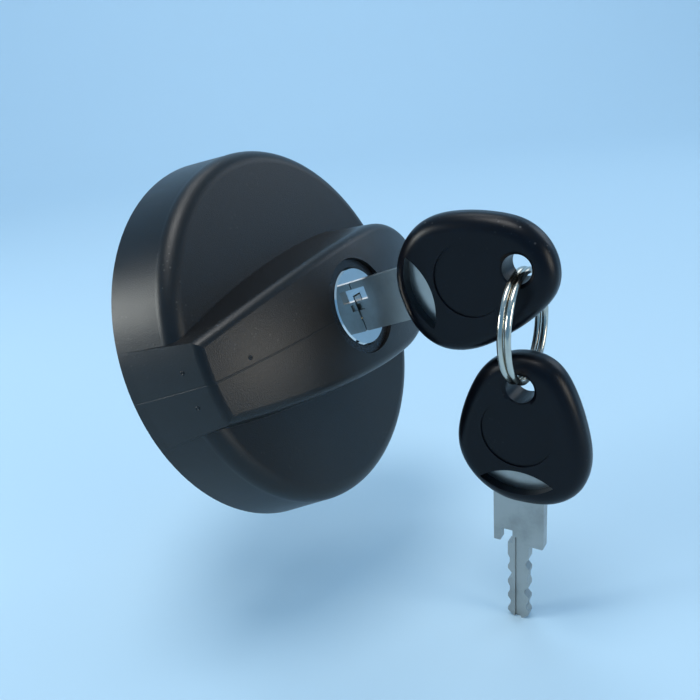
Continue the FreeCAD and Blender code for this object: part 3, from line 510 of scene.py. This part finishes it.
class CAP_OT_bolt_work(bpy.types.Operator):
    """Finish the cam, the bolt and the screws of the cam, the bolt's guide and the cover."""

    bl_idname = "filler_cap.bolt_work"
    bl_label = "Bolt Work"

    def execute(self, context):
        cam = metal_material(
            "Plated Cam", (0.55, 0.56, 0.57), (0.44, 0.43, 0.38), (0.24, 0.4),
            (900.0, 60.0, 900.0), 0.00001)
        paint_node("cam", cam)
        paint_node("bolt_pin", cam)
        casting = metal_material(
            "Bolt Casting", (0.5, 0.5, 0.51), (0.4, 0.4, 0.41), (0.34, 0.5),
            (500.0, 500.0, 500.0), 0.00003)
        paint_node("lock_bolt", casting)
        screw = metal_material(
            "Plated Screw", (0.58, 0.58, 0.57), (0.42, 0.4, 0.34), (0.22, 0.38),
            (400.0, 900.0, 900.0), 0.00001)
        for name in ("cam_screw", "carrier_screws", "cover_screws"):
            paint_node(name, screw)
        return {"FINISHED"}


class CAP_OT_plug(bpy.types.Operator):
    """Finish the bayonet plug, its base, the bolt's guide and the gasket."""

    bl_idname = "filler_cap.plug"
    bl_label = "Plug"

    def execute(self, context):
        colour = finish_settings().moulding_colour
        moulding = moulding_material("Plug Moulding", colour, (0.34, 0.5), 0.00003)
        for name in ("plug_body", "plug_base", "bolt_carrier"):
            paint_node(name, moulding)
        paint_node("gasket", bpy.data.materials.get("Seal Rubber") or rubber_material())
        return {"FINISHED"}


class CAP_OT_keys(bpy.types.Operator):
    """Finish the blades and the moulded bows of both keys."""

    bl_idname = "filler_cap.keys"
    bl_label = "Keys"

    def execute(self, context):
        values = finish_settings()
        tarnish = [c * 0.72 for c in values.blade_colour]
        for node, name, stretch in (
                ("key_1_blade", "Blade Steel Near", (700.0, 60.0, 500.0)),
                ("key_2_blade", "Blade Steel Hanging", (700.0, 500.0, 60.0))):
            paint_node(node, metal_material(
                name, values.blade_colour, tarnish, (0.26, 0.42), stretch, 0.00001))
        bow = moulding_material("Bow Moulding", values.bow_colour, (0.26, 0.36), 0.00002, 4000.0,
                               dust=0.3, specular=0.2)
        for name in ("key_1_bow", "key_2_bow"):
            paint_node(name, bow)
        return {"FINISHED"}


class CAP_OT_split_ring(bpy.types.Operator):
    """Finish the split ring through both bows."""

    bl_idname = "filler_cap.split_ring"
    bl_label = "Split Ring"

    def execute(self, context):
        nickel = metal_material(
            "Nickel Wire", (0.62, 0.58, 0.50), (0.48, 0.44, 0.38), (0.12, 0.22),
            (200.0, 200.0, 200.0), 0.000003)
        paint_node("split_ring", nickel)
        return {"FINISHED"}


class CAP_OT_stage(bpy.types.Operator):
    """Build the floor, the soft lamps and the camera."""

    bl_idname = "filler_cap.stage"
    bl_label = "Stage"

    camera_place = (-0.13333, -0.10924, 0.05923)
    camera_right = (0.5061, -0.8566, -0.1013)
    camera_up = (0.3572, 0.1013, 0.9286)
    sensor_width = 36.0
    clip_start, clip_end = 0.005, 20.0

    floor_flat, floor_bend, floor_height = 0.7, 0.6, 1.4
    floor_bend_steps = 12
    floor_sides = 96

    # Name, place, aim, size, share of the lamp power, colour
    lamps = (
        ("top_lamp", (-0.10, -0.02, 0.62), (0, 0, 0), 0.30, 1.0, (1.0, 0.99, 0.97)),
        ("front_lamp", (0.0, -0.50, 0.10), (0, 0, 0), 0.20, 0.38, (1.0, 0.92, 0.78)),
        ("left_lamp", (-0.35, 0.46, 0.18), (0, 0, 0), 0.22, 1.1, (0.97, 1.0, 0.95)),
        ("right_lamp", (0.60, -0.35, 0.35), (0, 0, 0), 0.40, 0.4, (0.90, 0.95, 1.0)),
        ("backdrop_lamp", (0.45, 0.30, 1.10), (1.20, 0.80, 0.25), 0.60, 3.2, (1.0, 1.0, 1.0)),
    )

    def execute(self, context):
        values = stage_settings()
        self.add_floor(values)
        self.add_world(values)
        self.add_camera(values)
        self.add_lamps(values)
        context.scene.view_settings.view_transform = "Standard"
        return {"FINISHED"}

    def add_floor(self, values):
        """Wide floor that curves up all round into a plain backdrop."""
        flat = self.floor_flat
        bend = self.floor_bend
        sides = self.floor_sides
        rings = [(0.0, 0.0), (flat * 0.5, 0.0), (flat, 0.0)]
        for step in range(1, self.floor_bend_steps + 1):
            turn = math.radians(90 * step / self.floor_bend_steps)
            rings.append((flat + bend * math.sin(turn), bend * (1 - math.cos(turn))))
        rings.append((flat + bend, self.floor_height))
        level = CAD_BOX[0][2]
        verts = []
        for radius, rise in rings:
            for side in range(sides):
                angle = 2 * math.pi * side / sides
                verts.append((radius * math.cos(angle), radius * math.sin(angle), level + rise))
        faces = []
        for row in range(len(rings) - 1):
            for side in range(sides):
                after = (side + 1) % sides
                base = row * sides
                faces.append((base + side, base + after, base + sides + after, base + sides + side))
        mesh = bpy.data.meshes.new("floor")
        mesh.from_pydata(verts, [], faces)
        mesh.validate()
        for polygon in mesh.polygons:
            polygon.use_smooth = True
        floor = bpy.data.objects.new("floor", mesh)
        bpy.context.scene.collection.objects.link(floor)
        material, tree, shader = new_material("Plain Floor")
        soft = add_node(tree, "ShaderNodeTexNoise", Scale=3.0, Detail=2.0)
        tree.links.new(add_node(tree, "ShaderNodeTexCoord").outputs["Object"], soft.inputs["Vector"])
        tint = add_node(tree, "ShaderNodeMix", data_type="RGBA")
        tint.inputs[6].default_value = opaque(values.floor_colour)
        tint.inputs[7].default_value = opaque(values.floor_colour, 1.02)
        tree.links.new(soft.outputs["Fac"], tint.inputs["Factor"])
        tree.links.new(tint.outputs[2], shader.inputs["Base Color"])
        shader.inputs["Roughness"].default_value = 0.8
        shader.inputs["Specular IOR Level"].default_value = 0.2
        mesh.materials.append(material)

    def add_world(self, values):
        """Even light from all round."""
        world = bpy.data.worlds.new("Studio")
        world.use_nodes = True
        light = world.node_tree.nodes["Background"]
        light.inputs["Color"].default_value = opaque(values.world_colour)
        light.inputs["Strength"].default_value = values.world_light
        bpy.context.scene.world = world

    def add_camera(self, values):
        """Camera at the photograph's place and angle."""
        right = Vector(self.camera_right).normalized()
        up = Vector(self.camera_up).normalized()
        back = right.cross(up).normalized()
        camera = bpy.data.objects.new("camera", bpy.data.cameras.new("camera"))
        camera.data.lens = values.lens
        camera.data.sensor_width = self.sensor_width
        camera.data.clip_start = self.clip_start
        camera.data.clip_end = self.clip_end
        camera.matrix_world = Matrix((
            (right.x, up.x, back.x, self.camera_place[0]),
            (right.y, up.y, back.y, self.camera_place[1]),
            (right.z, up.z, back.z, self.camera_place[2]),
            (0, 0, 0, 1),
        ))
        bpy.context.scene.collection.objects.link(camera)
        bpy.context.scene.camera = camera

    def add_lamps(self, values):
        """Soft round lamps above, in front and on both sides of the cap, and one for the backdrop."""
        for name, place, aim, size, share, colour in self.lamps:
            light = bpy.data.lights.new(name, "AREA")
            light.shape = "DISK"
            light.size = size
            light.energy = values.lamp_power * share
            light.color = colour
            lamp = bpy.data.objects.new(name, light)
            lamp.location = place
            lamp.rotation_euler = (Vector(aim) - Vector(place)).to_track_quat("-Z", "Y").to_euler()
            bpy.context.scene.collection.objects.link(lamp)


OPERATORS = (
    CAP_OT_outer_moulding,
    CAP_OT_lock,
    CAP_OT_bolt_work,
    CAP_OT_plug,
    CAP_OT_keys,
    CAP_OT_split_ring,
    CAP_OT_stage,
)


class CAP_PT_sidebar(bpy.types.Panel):
    """Lists the steps that finish the cap."""

    bl_idname = "CAP_PT_sidebar"
    bl_label = "Filler Cap"
    bl_space_type = "VIEW_3D"
    bl_region_type = "UI"
    bl_category = "Filler Cap"

    def draw(self, context):
        for operator in OPERATORS:
            self.layout.operator(operator.bl_idname)
        for settings in (context.scene.filler_cap_finish, context.scene.filler_cap_stage):
            for name in settings.__annotations__:
                self.layout.prop(settings, name)


CLASSES = (FillerCapFinish, FillerCapStage) + OPERATORS + (CAP_PT_sidebar,)


def register():
    for item in CLASSES:
        bpy.utils.register_class(item)
    bpy.types.Scene.filler_cap_finish = bpy.props.PointerProperty(type=FillerCapFinish)
    bpy.types.Scene.filler_cap_stage = bpy.props.PointerProperty(type=FillerCapStage)


def unregister():
    del bpy.types.Scene.filler_cap_stage
    del bpy.types.Scene.filler_cap_finish
    for item in reversed(CLASSES):
        bpy.utils.unregister_class(item)


def main():
    register()
    for operator in OPERATORS:
        group, name = operator.bl_idname.split(".")
        getattr(getattr(bpy.ops, group), name)()


if __name__ == "__main__":
    main()
